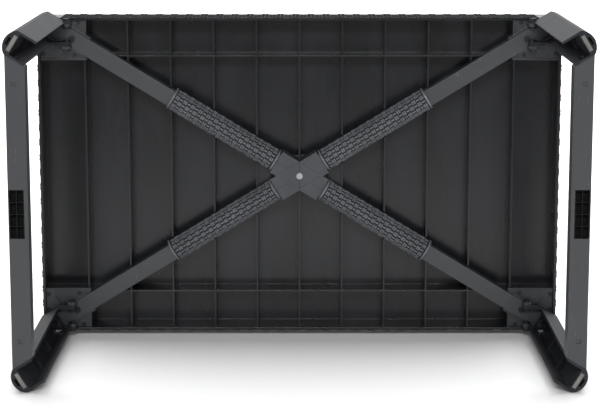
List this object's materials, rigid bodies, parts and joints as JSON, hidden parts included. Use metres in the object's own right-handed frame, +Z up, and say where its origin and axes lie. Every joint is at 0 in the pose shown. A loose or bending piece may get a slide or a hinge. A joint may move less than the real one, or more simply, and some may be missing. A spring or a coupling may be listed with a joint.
{
  "type": "folding sawhorse",
  "caption": "Low folding sawhorse: a ribbed rectangular deck, X brace with textured grips, and two end frames that fold flat under it.",
  "frame": {"origin": "on the floor at the middle of the bounding box, with the sawhorse standing on one long edge of its deck", "axes": "+Z up and across the deck, +X along the deck's length, -Y the way the feet point, so the work surface faces +Y; to stand it on its feet, turn it by +90 degrees about +X"},
  "size_m": [1.0104, 0.45, 0.636],
  "materials": {
    "deck": "moulded dark grey, glossy underside",
    "bracket": "moulded grey",
    "leg": "moulded grey, satin",
    "tube": "grey powder coat, satin",
    "cap": "black",
    "grip": "light grey with raised pads",
    "hub": "moulded grey, satin",
    "rail": "grey, satin",
    "grille": "black mesh",
    "pad": "pale grey",
    "button": "black",
    "steel": "zinc plated"
  },
  "bodies": {
    "deck": {"deck": "deck", "deck_screws": "steel", "lower_left_bracket": "bracket", "lower_right_bracket": "bracket", "upper_left_bracket": "bracket", "upper_right_bracket": "bracket", "lower_left_hinge_pins": "steel", "lower_right_hinge_pins": "steel", "upper_left_hinge_pins": "steel", "upper_right_hinge_pins": "steel", "lower_left_brace": "tube", "lower_right_brace": "tube", "upper_left_brace": "tube", "upper_right_brace": "tube", "lower_left_brace_cap": "cap", "lower_right_brace_cap": "cap", "upper_left_brace_cap": "cap", "upper_right_brace_cap": "cap", "lower_left_grip": "grip", "lower_right_grip": "grip", "upper_left_grip": "grip", "upper_right_grip": "grip", "brace_bolts": "steel", "left_hub": "hub", "right_hub": "hub", "hub_bolt": "steel"},
    "left_end_frame": {"lower_left_leg": "leg", "upper_left_leg": "leg", "lower_left_foot_pad": "pad", "upper_left_foot_pad": "pad", "left_rail": "rail", "left_rail_grille": "grille", "left_rail_screws": "steel"},
    "right_end_frame": {"lower_right_leg": "leg", "upper_right_leg": "leg", "lower_right_foot_pad": "pad", "upper_right_foot_pad": "pad", "right_rail": "rail", "right_rail_grille": "grille", "right_rail_screws": "steel"},
    "lower_left_button": {"lower_left_lock_button": "button"},
    "lower_right_button": {"lower_right_lock_button": "button"},
    "upper_left_button": {"upper_left_lock_button": "button"},
    "upper_right_button": {"upper_right_lock_button": "button"}
  },
  "joints": [
    {"name": "left_fold", "type": "hinge", "parent": "deck", "child": "left_end_frame", "pos_m": [-0.44302, 0.146, 0.31799], "axis": [0, 0, 1], "range_deg": [0, 90]},
    {"name": "right_fold", "type": "hinge", "parent": "deck", "child": "right_end_frame", "pos_m": [0.44302, 0.146, 0.31799], "axis": [0, 0, -1], "range_deg": [0, 90]},
    {"name": "lower_left_button_press", "type": "slide", "parent": "deck", "child": "lower_left_button", "axis": [0, 1, 0], "range_m": [0, 0.004], "stiffness_N_per_m": 350, "springref_m": -0.002},
    {"name": "lower_right_button_press", "type": "slide", "parent": "deck", "child": "lower_right_button", "axis": [0, 1, 0], "range_m": [0, 0.004], "stiffness_N_per_m": 350, "springref_m": -0.002},
    {"name": "upper_left_button_press", "type": "slide", "parent": "deck", "child": "upper_left_button", "axis": [0, 1, 0], "range_m": [0, 0.004], "stiffness_N_per_m": 350, "springref_m": -0.002},
    {"name": "upper_right_button_press", "type": "slide", "parent": "deck", "child": "upper_right_button", "axis": [0, 1, 0], "range_m": [0, 0.004], "stiffness_N_per_m": 350, "springref_m": -0.002}
  ]
}
